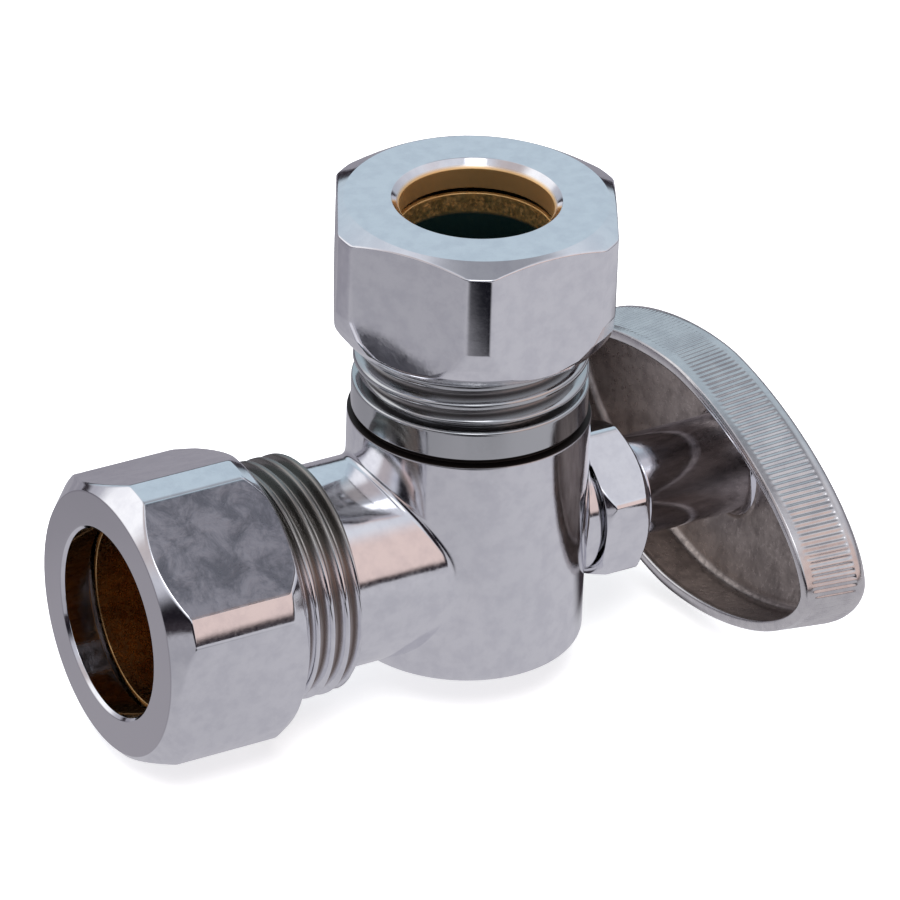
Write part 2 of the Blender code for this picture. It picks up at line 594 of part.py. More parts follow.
# ----------------------------------------------------------------------------
# Moving pieces keep their origin on their axis, under one empty per motion
# ----------------------------------------------------------------------------
for ob in (stem, handle, handle_screw, lock_washer, retainer, holder, washer, screw, pack_nut, packing,
           follower, inlet_nut, inlet_ferrule):
    box = [ob.matrix_world @ Vector(corner) for corner in ob.bound_box]
    mid_x = sum(p.x for p in box) / 8.0
    set_origin(ob, (mid_x / MM, 0.0, 0.0))
for ob in (outlet_nut, outlet_ferrule):
    box = [ob.matrix_world @ Vector(corner) for corner in ob.bound_box]
    set_origin(ob, (AXIS_X, 0.0, sum(p.z for p in box) / 8.0 / MM))

for label, at, pieces in (
        ("stem_axis", (AXIS_X + HANDLE_BACK, 0.0, 0.0),
         (stem, handle, handle_screw, lock_washer, retainer, holder, washer, screw)),
        ("packing_axis", (AXIS_X + 12.0, 0.0, 0.0), (pack_nut, packing, follower)),
        ("inlet_axis", (AXIS_X + IN_NUT[0], 0.0, 0.0), (inlet_nut, inlet_ferrule)),
        ("outlet_axis", (AXIS_X, 0.0, OUT_NUT[1]), (outlet_nut, outlet_ferrule))):
    empty = bpy.data.objects.new(label, None)
    empty.empty_display_size = 0.01
    empty.location = [c_ * MM for c_ in at]
    PARTS.objects.link(empty)
    bpy.context.view_layer.update()
    for piece in pieces:
        world = piece.matrix_world.copy()
        piece.parent = empty
        piece.matrix_parent_inverse = empty.matrix_world.inverted()
        piece.matrix_world = world
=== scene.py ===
import math

import bpy
import numpy as np
from mathutils import Matrix, Vector


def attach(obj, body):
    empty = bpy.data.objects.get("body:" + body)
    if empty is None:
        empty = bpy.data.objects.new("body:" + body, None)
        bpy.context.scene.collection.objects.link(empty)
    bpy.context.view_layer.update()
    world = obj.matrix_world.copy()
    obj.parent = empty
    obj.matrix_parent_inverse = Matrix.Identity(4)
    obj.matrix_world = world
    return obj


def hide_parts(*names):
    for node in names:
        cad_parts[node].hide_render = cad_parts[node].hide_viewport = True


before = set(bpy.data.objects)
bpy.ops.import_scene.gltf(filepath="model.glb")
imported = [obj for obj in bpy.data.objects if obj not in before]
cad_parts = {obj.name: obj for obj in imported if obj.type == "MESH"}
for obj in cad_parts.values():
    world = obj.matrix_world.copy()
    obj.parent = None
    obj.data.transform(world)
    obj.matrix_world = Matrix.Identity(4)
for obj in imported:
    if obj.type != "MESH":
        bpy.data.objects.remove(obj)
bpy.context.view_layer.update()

# ---------------------------------------------------------------- dimensions
# millimetres, the same as the solids; stem lengths from the barrel axis
MM = 0.001
A = 15.5
BARREL_R, BARREL_BOTTOM, BARREL_TOP = 10.3, -8.95, 11.95
GROOVE_R, GROOVE_TOP = 9.6, 12.5
COLLAR_R, COLLAR_TOP = 10.0, 15.1
NECK_TOP = 23.6
OUT_PITCH, OUT_CREST, OUT_ROOT, OUT_TUBE = 1.8, 9.9, 8.85, 6.45
BRANCH_R, BRANCH_END, IN_THREAD_END = 8.8, -24.0, -15.0
IN_PITCH, IN_CREST, IN_ROOT, IN_TUBE, IN_BORE = 1.411, 10.3, 9.35, 8.1, 5.6
BOSS_R, BOSS_END, NECK_END = 5.9, 10.05, 12.4
PACK_PITCH, PACK_CREST, PACK_ROOT = 1.0, 5.2, 4.65
STEM_R = 2.5
IN_NUT, IN_NUT_AF, IN_NUT_TURN, IN_CORNER = (-34.2, -21.2), 23.8, -22.1, 13.05
OUT_NUT, OUT_NUT_AF, OUT_NUT_TURN, OUT_CORNER = (20.2, 31.88), 23.2, -118.5, 12.8
PACK_NUT, PACK_AF, PACK_TURN = (10.35, 14.8), 12.4, 39.0
H_BACK, H_SHOULDER, H_FRONT = 20.2, 25.65, 28.4
H_A, H_B, H_TILT, H_POWER = (22.3, 22.95), (10.95, 11.5), 1.6, 1.7
HUB_R, HUB_BACK = 4.4, 15.6


# ------------------------------------------------------------------- meshing
def put(r, theta, h, axis):
    """Points at radius r, angle theta, height h about the barrel or stem axis."""
    r, theta, h = np.broadcast_arrays(np.asarray(r, float), theta, h)
    c, s = np.cos(theta), np.sin(theta)
    if axis == "Z":
        return np.stack([A + r * c, r * s, h], -1)
    return np.stack([A + h, r * c, r * s], -1)


def fillet(points, radius, n=5, closed=False, support=0.03):
    """Polyline with its corners rounded, and a support point beside each arc."""
    pts = [np.array(p[:2], float) for p in points]
    rad = [p[2] if len(p) > 2 else radius for p in points]
    out = []
    count = len(pts)
    for i in range(count):
        if not closed and i in (0, count - 1):
            out.append(pts[i])
            continue
        p, a, b = pts[i], pts[i - 1], pts[(i + 1) % count]
        da, db = a - p, b - p
        la, lb = np.linalg.norm(da), np.linalg.norm(db)
        da, db = da / la, db / lb
        half = math.acos(max(-1.0, min(1.0, float(da @ db)))) / 2.0
        if rad[i] <= 0 or half > math.radians(88):
            out.append(p)
            continue
        t = min(rad[i] / math.tan(half), 0.45 * la, 0.45 * lb)
        start, end = p + da * t, p + db * t
        if la > t + 3 * support:
            out.append(start + da * support)
        for k in range(n + 1):
            w = k / n
            out.append((1 - w) ** 2 * start + 2 * w * (1 - w) * p + w * w * end)
        if lb > t + 3 * support:
            out.append(end + db * support)
    return np.array(out)


def refine(profile, step, closed=False):
    """Split long steps of a profile."""
    pts = list(profile)
    if closed:
        pts.append(profile[0])
    out = []
    for p, q in zip(pts, pts[1:]):
        n = max(1, int(math.ceil(np.linalg.norm(q - p) / step)))
        out += [p + (q - p) * k / n for k in range(n)]
    if not closed:
        out.append(pts[-1])
    return np.array(out)


def surface(grids, name, inward=False, close_rows=False, weld=False):
    """One mesh from grids of points (rows, columns, xyz) in mm, each closed round."""
    verts, faces, base = [], [], 0
    for g in grids:
        rows, cols = g.shape[:2]
        index = np.arange(rows * cols).reshape(rows, cols) + base
        a = index if close_rows else index[:-1]
        b = np.roll(index, -1, 0) if close_rows else index[1:]
        quads = np.stack([a, np.roll(a, -1, 1), np.roll(b, -1, 1), b], -1).reshape(-1, 4)
        pts = g.reshape(-1, 3)
        local = quads - base
        centre = pts.mean(0)
        p = pts - centre
        volume = np.einsum("ij,ij->i", p[local[:, 0]], np.cross(p[local[:, 1]], p[local[:, 2]])).sum() \
            + np.einsum("ij,ij->i", p[local[:, 0]], np.cross(p[local[:, 2]], p[local[:, 3]])).sum()
        if (volume < 0) != inward:
            quads = quads[:, ::-1]
        verts.append(pts)
        faces.append(quads)
        base += rows * cols
    verts = np.concatenate(verts) * MM
    faces = np.concatenate(faces)
    mesh = bpy.data.meshes.new(name)
    mesh.vertices.add(len(verts))
    mesh.vertices.foreach_set("co", verts.astype(np.float32).ravel())
    mesh.loops.add(faces.size)
    mesh.loops.foreach_set("vertex_index", faces.astype(np.int32).ravel())
    mesh.polygons.add(len(faces))
    mesh.polygons.foreach_set("loop_start", np.arange(0, faces.size, 4, dtype=np.int32))
    mesh.polygons.foreach_set("use_smooth", np.ones(len(faces), bool))
    mesh.update(calc_edges=True)
    mesh.validate()
    ob = bpy.data.objects.new(name, mesh)
    bpy.context.scene.collection.objects.link(ob)
    return ob


def turn_grid(profile, axis, cols=192):
    theta = np.linspace(0, 2 * np.pi, cols, endpoint=False)
    return put(profile[:, 0:1], theta[None, :], profile[:, 1:2], axis)


def revolve(name, points, axis, radius=0.15, cols=192, closed=True, step=None, n=5, inward=False):
    profile = fillet(points, radius, n, closed)
    if step:
        profile = refine(profile, step, closed)
    return surface([turn_grid(profile, axis, cols)], name, inward, close_rows=closed)


def soft_min(a, b, k):
    h = np.clip(0.5 + 0.5 * (b - a) / k, 0, 1)
    return b * (1 - h) + a * h - k * h * (1 - h)


def nut(name, outline, across, turn, axis, cols=720, k=0.16, inner=10.6):
    """Closed turned outline (bore included) cut to a hexagon across flats."""
    profile = refine(outline, 0.5, True)
    keep = []
    for p, q in zip(profile, np.roll(profile, -1, 0)):
        mid = (p + q) / 2
        sloped = abs(q[0] - p[0]) > 0.02 and mid[0] > inner
        n = max(1, int(math.ceil(np.linalg.norm(q - p) / (0.11 if sloped else 0.5))))
        keep += [p + (q - p) * j / n for j in range(n)]
    profile = np.array(keep)
    theta = np.linspace(0, 2 * np.pi, cols, endpoint=False)
    off = np.abs((theta - math.radians(turn) + np.pi / 6) % (np.pi / 3) - np.pi / 6)
    flat = across / 2 / np.cos(np.pi / 6 - off)
    r = profile[:, 0:1]
    r = np.where(r > inner - 1.0, soft_min(r, flat[None, :], k), r)
    return surface([put(r, theta[None, :], profile[:, 1:2], axis)], name, close_rows=True)


def thread_grid(root, crest, pitch, low, high, axis, envelope, cols=256, per=12, lean=0.0, phase=0.0):
    """Helical rows, one set a pitch, held under the envelope at each end."""
    theta = np.linspace(0, 2 * np.pi, cols, endpoint=False)
    rows = int(math.ceil((high - low) / pitch)) * per + per
    j = np.arange(-per, rows + 1)
    # rows sit evenly, per of them to each pitch
    w = (j % per) / per
    z = low + pitch * (np.floor(j / per) + w)[:, None] + 0 * theta[None, :]
    # each column is shifted along the helix, so the crests stay on one row
    z = z + pitch * (theta / (2 * np.pi))[None, :]
    z = np.clip(z, low, high)
    ph = ((z - low) / pitch - (theta / (2 * np.pi))[None, :] + phase) % 1.0
    tri = 1.0 - np.abs(2.0 * ph - 1.0)
    shape = np.clip((tri - 0.16) / 0.62, 0, 1)
    shape = shape * shape * (3 - 2 * shape) * 0.45 + shape * 0.55
    r = root + (crest - root) * shape
    r = np.minimum(r, envelope(z))
    # an unbroken seam: column 0 of the next turn continues the last column
    return put(r, theta[None, :], z, axis), j, per


def thread_piece(name, root, crest, pitch, low, high, axis, envelope, cols=256, per=12, phase=0.0):
    g, j, per = thread_grid(root, crest, pitch, low, high, axis, envelope, cols, per, phase=phase)
    rows = g.shape[0]
    verts = g.reshape(-1, 3) * MM
    index = np.arange(rows * cols).reshape(rows, cols)
    a, d = index[:-1, :-1], index[1:, :-1]
    b, c = index[:-1, 1:], index[1:, 1:]
    faces = [np.stack([a, b, c, d], -1).reshape(-1, 4)]
    # seam: last column joins column 0 one pitch further on
    a2, d2 = index[:rows - 1 - per, -1], index[1:rows - per, -1]
    b2, c2 = index[per:rows - 1, 0], index[per + 1:rows, 0]
    faces.append(np.stack([a2, b2, c2, d2], -1))
    faces = np.concatenate(faces)
    p = verts
    area = np.linalg.norm(np.cross(p[faces[:, 2]] - p[faces[:, 0]], p[faces[:, 3]] - p[faces[:, 1]]), axis=1)
    faces = faces[area > 1e-12]
    out = p[faces].mean(1) - np.array([A * MM if axis == "Z" else 0, 0, 0])
    if axis == "Z":
        out[:, 2] = 0
    else:
        out[:, 0] = 0
    nrm = np.cross(p[faces[:, 2]] - p[faces[:, 0]], p[faces[:, 3]] - p[faces[:, 1]])
    if (np.einsum("ij,ij->i", nrm, out) > 0).mean() < 0.5:
        faces = faces[:, ::-1]
    used = np.unique(faces)
    remap = -np.ones(len(verts), int)
    remap[used] = np.arange(len(used))
    verts, faces = verts[used], remap[faces]
    mesh = bpy.data.meshes.new(name)
    mesh.from_pydata(verts.tolist(), [], faces.tolist())
    mesh.shade_smooth()
    mesh.validate()
    ob = bpy.data.objects.new(name, mesh)
    bpy.context.scene.collection.objects.link(ob)
    return ob


def join(name, obs):
    bpy.ops.object.select_all(action="DESELECT")
    for ob in obs:
        ob.select_set(True)
    bpy.context.view_layer.objects.active = obs[0]
    bpy.ops.object.join()
    obs[0].name = name
    obs[0].data.name = name
    return obs[0]


# ------------------------------------------------------------------ materials
class Nodes:
    """Small helper round one material's node tree."""

    def __init__(self, name):
        self.mat = bpy.data.materials.new(name)
        self.mat.use_nodes = True
        self.t = self.mat.node_tree
        self.s = self.t.nodes["Principled BSDF"]
        self.coord = self.t.nodes.new("ShaderNodeTexCoord")

    def noise(self, scale, detail=4.0, rough=0.55, stretch=None, distort=0.0):
        n = self.t.nodes.new("ShaderNodeTexNoise")
        n.inputs["Scale"].default_value = scale
        n.inputs["Detail"].default_value = detail
        n.inputs["Roughness"].default_value = rough
        n.inputs["Distortion"].default_value = distort
        src = self.coord.outputs["Object"]
        if stretch:
            m = self.t.nodes.new("ShaderNodeMapping")
            m.inputs["Scale"].default_value = stretch
            self.t.links.new(src, m.inputs["Vector"])
            src = m.outputs["Vector"]
        self.t.links.new(src, n.inputs["Vector"])
        return n.outputs["Fac"]

    def span(self, src, a, b, low, high):
        m = self.t.nodes.new("ShaderNodeMapRange")
        m.interpolation_type = "SMOOTHSTEP"
        for key, v in (("From Min", a), ("From Max", b), ("To Min", low), ("To Max", high)):
            m.inputs[key].default_value = v
        self.t.links.new(src, m.inputs["Value"])
        return m.outputs["Result"]

    def blend(self, fac, one, two):
        m = self.t.nodes.new("ShaderNodeMix")
        m.data_type = "RGBA"
        self.t.links.new(fac, m.inputs["Factor"])
        for socket, v in ((m.inputs[6], one), (m.inputs[7], two)):
            if isinstance(v, tuple):
                socket.default_value = (*v, 1.0)
            else:
                self.t.links.new(v, socket)
        return m.outputs[2]

    def math(self, kind, a, b=None):
        m = self.t.nodes.new("ShaderNodeMath")
        m.operation = kind
        for i, v in enumerate((a, b)):
            if v is None:
                continue
            if isinstance(v, (int, float)):
                m.inputs[i].default_value = v
            else:
                self.t.links.new(v, m.inputs[i])
        return m.outputs[0]

    def bump(self, height, distance, strength=1.0, after=None):
        m = self.t.nodes.new("ShaderNodeBump")
        m.inputs["Strength"].default_value = strength
        m.inputs["Distance"].default_value = distance
        self.t.links.new(height, m.inputs["Height"])
        if after is not None:
            self.t.links.new(after, m.inputs["Normal"])
        return m.outputs["Normal"]

    def wire(self, src, socket):
        self.t.links.new(src, self.s.inputs[socket])


def metal(name, light, dark, rough, wave=0.00004, grain=0.0000015, spots=0.0, spot_colour=None):
    m = Nodes(name)
    m.s.inputs["Metallic"].default_value = 1.0
    broad = m.noise(140.0, 2.0, 0.5)
    fine = m.noise(2600.0, 5.0, 0.6)
    mid = m.noise(600.0, 3.0, 0.6)
    colour = m.blend(m.span(mid, 0.35, 0.7, 0.0, 1.0), light, dark)
    if spot_colour is not None:
        colour = m.blend(m.span(m.noise(420.0, 6.0, 0.7), 0.56, 0.72, 0.0, spots), colour, spot_colour)
    m.wire(colour, "Base Color")
    m.wire(m.span(fine, 0.3, 0.75, rough * 0.75, rough * 1.5), "Roughness")
    n1 = m.bump(broad, wave)
    m.wire(m.bump(fine, grain, 1.0, n1), "Normal")
    return m


CHROME_L, CHROME_D = (0.86, 0.86, 0.89), (0.78, 0.78, 0.82)


def masked(m, mask, colour, rough=None):
    """Another colour, and roughness, where the mask is 1."""
    m.wire(m.blend(mask, m.s.inputs["Base Color"].links[0].from_socket, colour), "Base Color")
    if rough is not None:
        old = m.s.inputs["Roughness"].links[0].from_socket
        keep = m.math("MULTIPLY", old, m.math("SUBTRACT", 1.0, mask))
        m.wire(m.math("ADD", keep, m.math("MULTIPLY", mask, rough)), "Roughness")


def where(m):
    n = m.t.nodes.new("ShaderNodeSeparateXYZ")
    m.t.links.new(m.coord.outputs["Object"], n.inputs[0])
    return n.outputs["X"], n.outputs["Y"], n.outputs["Z"]


def radius_of(m, u, v):
    return m.math("SQRT", m.math("ADD", m.math("MULTIPLY", u, u), m.math("MULTIPLY", v, v)))


m = metal("body_plating", CHROME_L, CHROME_D, 0.10, wave=0.00006)
px, py, pz = where(m)
# the collar and the neck, above the groove, are painted a darker grey than the barrel
masked(m, m.span(pz, 0.01245, 0.01262, 0.0, 1.0), (0.56, 0.57, 0.58))
# painted shade: the groove and the roots of both threads are painted dark, and rougher, as the shade that falls in
# these recesses
groove_shade = m.math("MULTIPLY", m.span(pz, 0.01184, 0.01192, 0.0, 1.0), m.span(pz, 0.01253, 0.01262, 1.0, 0.0))
masked(m, groove_shade, (0.035, 0.028, 0.026), 0.5)
# painted shade in the roots of the outlet thread
r_out = radius_of(m, m.math("SUBTRACT", px, A * MM), py)
root_shade = m.math("MULTIPLY", m.span(r_out, 0.00905, 0.0095, 1.0, 0.0), m.span(pz, 0.0152, 0.0154, 0.0, 1.0))
masked(m, root_shade, (0.26, 0.25, 0.25), 0.35)
# painted shade in the roots of the inlet thread
r_in = radius_of(m, py, pz)
root_shade = m.math("MULTIPLY", m.span(r_in, 0.00955, 0.00995, 1.0, 0.0), m.span(px, 0.0001, 0.0004, 1.0, 0.0))
masked(m, root_shade, (0.42, 0.37, 0.35), 0.3)
# painted reflection: the top of the inlet thread is painted darker, for the dark part of the room it faces
thread_top_reflection = m.math("MULTIPLY", m.span(pz, 0.0045, 0.0078, 0.0, 1.0), m.span(px, 0.0001, 0.0004, 1.0, 0.0))
masked(m, thread_top_reflection, (0.27, 0.26, 0.245), 0.25)
body_mat = m.mat
m = metal("outlet_nut_plating", CHROME_L, CHROME_D, 0.08, wave=0.00004)
px, py, pz = where(m)
bore_zone = m.math("MULTIPLY", m.span(radius_of(m, m.math("SUBTRACT", px, A * MM), py), 0.00665, 0.0069, 1.0, 0.0),
                   m.span(pz, 0.0312, 0.0315, 1.0, 0.0))
masked(m, bore_zone, (0.96, 0.64, 0.30), 0.5)
out_nut_mat = m.mat
pack_nut_mat = metal("packing_nut_plating", CHROME_L, CHROME_D, 0.09, wave=0.00004).mat
screw_mat = metal("handle_screw_plating", CHROME_L, CHROME_D, 0.14).mat
handle_mat = metal("handle_plating", (0.72, 0.70, 0.70), (0.62, 0.60, 0.61), 0.19, wave=0.00005).mat
# painted shade: the dish colour is darker and browner for the shade inside the handle's cavity
dish_shade_mat = metal("handle_dish_painted_shade", (0.42, 0.365, 0.34), (0.28, 0.24, 0.225), 0.34, wave=0.0001, grain=0.000004).mat
hub_mat = metal("handle_hub_polished", (0.84, 0.84, 0.90), (0.74, 0.74, 0.80), 0.10, wave=0.00003).mat
# painted shade: the bores' brass is painted darker than the turned brass, for the shade inside the holes, with random
# dark spots
m = metal("bored_brass", (0.66, 0.40, 0.16), (0.46, 0.25, 0.09), 0.26, wave=0.00003, grain=0.000004,
          spots=0.6, spot_colour=(0.20, 0.10, 0.04))
# painted shade: above 12.5 mm the bores turn dark teal, standing in for the dark depth of the outlet hole
masked(m, m.span(where(m)[2], 0.0125, 0.0140, 0.0, 1.0), (0.07, 0.16, 0.17), 0.45)
brass_mat = m.mat
stem_mat = metal("stem_brass_turned", (0.82, 0.60, 0.30), (0.66, 0.45, 0.2), 0.2, grain=0.000003).mat
ferrule_mat = metal("ferrule_brass_turned", (0.84, 0.58, 0.24), (0.68, 0.43, 0.16), 0.2, grain=0.000003).mat
m = metal("outlet_ferrule_turned", (0.96, 0.66, 0.30), (0.84, 0.54, 0.22), 0.48, grain=0.000003)
# painted shade: below 27 mm the outlet ferrule turns dark teal, for the dark depth of the outlet hole
masked(m, m.span(where(m)[2], 0.02690, 0.02730, 1.0, 0.0), (0.07, 0.16, 0.17), 0.45)
out_ferrule_mat = m.mat
# painted shade: the inlet ferrule is painted darker than the outlet ferrule, for the shade inside the inlet hole, with
# random dark spots
m = metal("inlet_ferrule_turned", (0.60, 0.38, 0.17), (0.38, 0.22, 0.09), 0.26, grain=0.000004,
          spots=0.6, spot_colour=(0.14, 0.08, 0.04))
in_ferrule_mat = m.mat
steel_mat = metal("spring_steel", (0.55, 0.55, 0.57), (0.42, 0.42, 0.44), 0.28).mat

# the inlet nut: one face keeps the mottled skin of the forging
m = metal("inlet_nut_plating", CHROME_L, CHROME_D, 0.09, wave=0.00005)
dot = m.t.nodes.new("ShaderNodeVectorMath")
dot.operation = "DOT_PRODUCT"
dot.inputs[1].default_value = (0.0, math.cos(math.radians(127.9)), math.sin(math.radians(127.9)))
m.t.links.new(m.coord.outputs["Normal"], dot.inputs[0])
mask = m.span(dot.outputs["Value"], 0.975, 0.995, 0.0, 1.0)
skin = m.noise(420.0, 6.0, 0.72, distort=0.4)
base = m.s.inputs["Base Color"].links[0].from_socket
rough = m.s.inputs["Roughness"].links[0].from_socket
normal = m.s.inputs["Normal"].links[0].from_socket
skin_colour = m.blend(m.span(skin, 0.36, 0.66, 0.0, 1.0), (0.17, 0.175, 0.20), (0.36, 0.36, 0.40))
m.wire(m.blend(mask, base, skin_colour), "Base Color")
skin_rough = m.math("MULTIPLY", mask, m.span(skin, 0.3, 0.7, 0.18, 0.36))
m.wire(m.math("ADD", rough, skin_rough), "Roughness")
m.wire(m.bump(m.math("MULTIPLY", mask, skin), 0.00012, 0.9, normal), "Normal")
# its front face is duller than the flats
masked(m, m.span(where(m)[0], -0.01868, -0.01860, 1.0, 0.0), (0.56, 0.545, 0.575), 0.16)
in_nut_mat = m.mat


def soft_stuff(name, colour, other, rough, grain):
    m = Nodes(name)
    fine = m.noise(1800.0, 5.0, 0.65)
    m.wire(m.blend(m.span(fine, 0.35, 0.7, 0.0, 1.0), colour, other), "Base Color")
    m.wire(m.span(m.noise(700.0), 0.3, 0.7, rough * 0.85, min(1.0, rough * 1.15)), "Roughness")
    m.wire(m.bump(fine, grain), "Normal")
    return m.mat


rubber_mat = soft_stuff("washer_rubber", (0.025, 0.025, 0.027), (0.05, 0.05, 0.052), 0.6, 0.00002)
graphite_mat = soft_stuff("packing_yarn", (0.05, 0.05, 0.055), (0.11, 0.11, 0.12), 0.7, 0.00005)


def finish_piece(ob, mat, body, slot, *nodes):
    ob.data.materials.clear()
    ob.data.materials.append(mat)
    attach(ob, body)
    if nodes:
        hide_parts(*nodes)
    return ob


# ----------------------------------------------------------------- valve body
barrel = fillet([
    (OUT_ROOT - 0.6, COLLAR_TOP + 1.2, 0), (OUT_ROOT - 0.2, COLLAR_TOP + 0.35), (OUT_ROOT - 0.2, COLLAR_TOP, 0.12),
    (COLLAR_R, COLLAR_TOP, 0.3), (COLLAR_R, GROOVE_TOP + 0.02, 0.18), (GROOVE_R, GROOVE_TOP - 0.12, 0.08),
    (GROOVE_R, BARREL_TOP + 0.12, 0.08), (BARREL_R, BARREL_TOP - 0.02, 0.2),
    (BARREL_R, BARREL_BOTTOM, 0.7), (0.02, BARREL_BOTTOM)], 0.12, n=8)
barrel_ob = surface([turn_grid(refine(barrel, 1.2), "Z", 256)], "barrel_skin")


def sleeve(radius, start, reach, rounding, cols=256, side=-1.0):
    """Branch tube from its outer end to the barrel, with a small fillet where
    they meet; it fades out towards the bottom edge of the barrel."""
    theta = np.linspace(0, 2 * np.pi, cols, endpoint=False)
    c, s = np.cos(theta), np.sin(theta)
    fade = np.clip((s + 0.86) / 0.3, 0.02, 1.0)
    if side > 0:
        fade = np.ones_like(s)
    a = rounding * fade

    def crease(rad):
        y = rad * c
        x = side * np.sqrt(np.maximum(BARREL_R ** 2 - y ** 2, 0.0))
        return np.stack([A + x, y, rad * s], -1)

    p1 = crease(radius)
    p0 = p1.copy()
    p0[:, 0] += side * a
    p2 = crease(radius + a)
    p2[:, 0] += side * 0.004
    rows = []
    for w in np.linspace(0, 1, 9)[:-1]:
        q = p0 * (1 - w)
        q[:, 1:] = p0[:, 1:]
        q[:, 0] = (A + start) * (1 - w) + p0[:, 0] * w
        rows.append(q)
    support = p0.copy()
    support[:, 0] += side * 0.03
    rows.append(support)
    for w in np.linspace(0, 1, 9):
        rows.append((1 - w) ** 2 * p0 + 2 * w * (1 - w) * p1 + w * w * p2)
    g1 = np.stack(rows)
    deep = p1.copy()
    deep[:, 0] = A + side * reach
    deep[:, 1:] *= 0.985
    g2 = np.stack([p2 - np.array([side * 0.0, 0, 0]), deep])
    return [g1, g2]


branch_ob = surface(sleeve(BRANCH_R, IN_THREAD_END - 0.2, 4.9, 0.55), "branch_skin")
boss_ob = surface(sleeve(BOSS_R, BOSS_END - 0.35, 6.0, 0.35, side=1.0), "boss_skin")
boss_face = surface([turn_grid(fillet([
    (BOSS_R, BOSS_END - 0.36), (BOSS_R, BOSS_END, 0.3), (PACK_ROOT - 0.05, BOSS_END, 0.1),
    (PACK_ROOT - 0.05, BOSS_END + 0.3)], 0.2), "X", 192)], "boss_face")


def env_out(z):
    return np.minimum(np.maximum(8.65, 8.65 + (z - 15.35) * 2.2), np.maximum(8.5, 8.5 + (NECK_TOP - z) * 0.95))


def env_in(z):
    return np.minimum(np.maximum(8.8, 8.8 + (IN_THREAD_END - z) * 2.4), np.maximum(9.1, 9.1 + (z - BRANCH_END) * 1.05))


def env_pack(z):
    return np.minimum(np.maximum(4.6, 4.6 + (z - BOSS_END - 0.2) * 1.5), np.maximum(4.55, 4.55 + (NECK_END - z) * 0.9))


out_thread = thread_piece("outlet_thread_skin", OUT_ROOT, OUT_CREST, OUT_PITCH, 15.35, NECK_TOP, "Z", env_out)
in_thread = thread_piece("inlet_thread_skin", IN_ROOT, IN_CREST, IN_PITCH, BRANCH_END, IN_THREAD_END, "X", env_in)
pack_thread = thread_piece("packing_thread_skin", PACK_ROOT, PACK_CREST, PACK_PITCH, BOSS_END + 0.2, NECK_END, "X",
                           env_pack, cols=160)
neck_end = surface([turn_grid(fillet([
    (8.5, NECK_TOP), (OUT_TUBE + 1.45, NECK_TOP, 0.1), (OUT_TUBE + 0.02, NECK_TOP - 2.0)], 0.1)[:-1], "Z", 192)],
    "neck_end_face")
branch_end = surface([turn_grid(np.array([(9.1, BRANCH_END), (9.05, BRANCH_END), (IN_TUBE + 0.9, BRANCH_END)]),
                                "X", 192)], "branch_end_face")
pack_end = surface([turn_grid(np.array([(4.55, NECK_END), (4.1, NECK_END)]), "X", 160)], "packing_neck_face")
body_skin = join("valve_body_plated", [barrel_ob, branch_ob, boss_ob, boss_face, out_thread, in_thread,
                                       pack_thread, neck_end, branch_end, pack_end])
finish_piece(body_skin, body_mat, "valve_body", "body_chrome", "valve_body")


# the bored inside of the body: one hollow, seen through the two tube holes
def solid_turned(name, points, axis, cols):
    theta = np.linspace(0, 2 * np.pi, cols, endpoint=False)
    prof = np.array(points, float)
    ring_rows = [put(np.full(cols, r), theta, np.full(cols, h), axis) for r, h in prof if r > 0]
    verts = np.concatenate(ring_rows)
    n = len(ring_rows)
    faces = []
    for j in range(n - 1):
        for i in range(cols):
            k = (i + 1) % cols
            faces.append((j * cols + i, j * cols + k, (j + 1) * cols + k, (j + 1) * cols + i))
    faces.append(tuple(range(cols)))
    faces.append(tuple(range((n - 1) * cols, n * cols))[::-1])
    mesh = bpy.data.meshes.new(name)
    mesh.from_pydata((verts * MM).tolist(), [], faces)
    import bmesh
    bm = bmesh.new()
    bm.from_mesh(mesh)
    bmesh.ops.recalc_face_normals(bm, faces=bm.faces)
    bm.to_mesh(mesh)
    bm.free()
    ob = bpy.data.objects.new(name, mesh)
    bpy.context.scene.collection.objects.link(ob)
    return ob


void = solid_turned("valve_body_bores", [
    (4.5, -4.0), (4.5, -7.0), (IN_BORE, -8.1), (IN_BORE, -A), (IN_TUBE, -A), (IN_TUBE, BRANCH_END + 2.0),
    (IN_TUBE + 0.9, BRANCH_END)], "X", 128)
others = [
    solid_turned("void_chamber", [(6.4, 4.2), (6.4, -6.4), (5.6, -6.4), (5.3, -5.2)], "X", 100),
    solid_turned("void_outlet", [(OUT_TUBE + 1.45, NECK_TOP), (OUT_TUBE, NECK_TOP - 2.0), (OUT_TUBE, 16.5),
                                 (4.0, 16.5), (4.0, 2.0)], "Z", 128),
    solid_turned("void_stem", [(4.1, NECK_END), (4.1, 10.2), (3.9, 10.2), (3.9, 3.2)], "X", 90)]
for other in others:
    mod = void.modifiers.new("join", "BOOLEAN")
    mod.operation = "UNION"
    mod.object = other
    mod.solver = "EXACT"
    bpy.context.view_layer.update()
    mesh = bpy.data.meshes.new_from_object(void.evaluated_get(bpy.context.evaluated_depsgraph_get()))
    void.modifiers.clear()
    void.data = mesh
    bpy.data.objects.remove(other, do_unlink=True)
import bmesh
bm = bmesh.new()
bm.from_mesh(void.data)
caps = []
for f in bm.faces:
    c = f.calc_center_median() / MM
    if len(f.verts) > 20 or f.normal.length == 0:
        if abs(c.x - (A + BRANCH_END)) < 0.01 or abs(c.z - NECK_TOP) < 0.01 or abs(c.x - (A + NECK_END)) < 0.01:
            caps.append(f)
bmesh.ops.delete(bm, geom=caps, context="FACES")
bmesh.ops.reverse_faces(bm, faces=bm.faces)
bm.to_mesh(void.data)
bm.free()
void.data.shade_smooth()
void.data.set_sharp_from_angle(angle=math.radians(30))
void.name = void.data.name = "valve_body_bores"
finish_piece(void, brass_mat, "valve_body", "body_chrome", "valve_body")

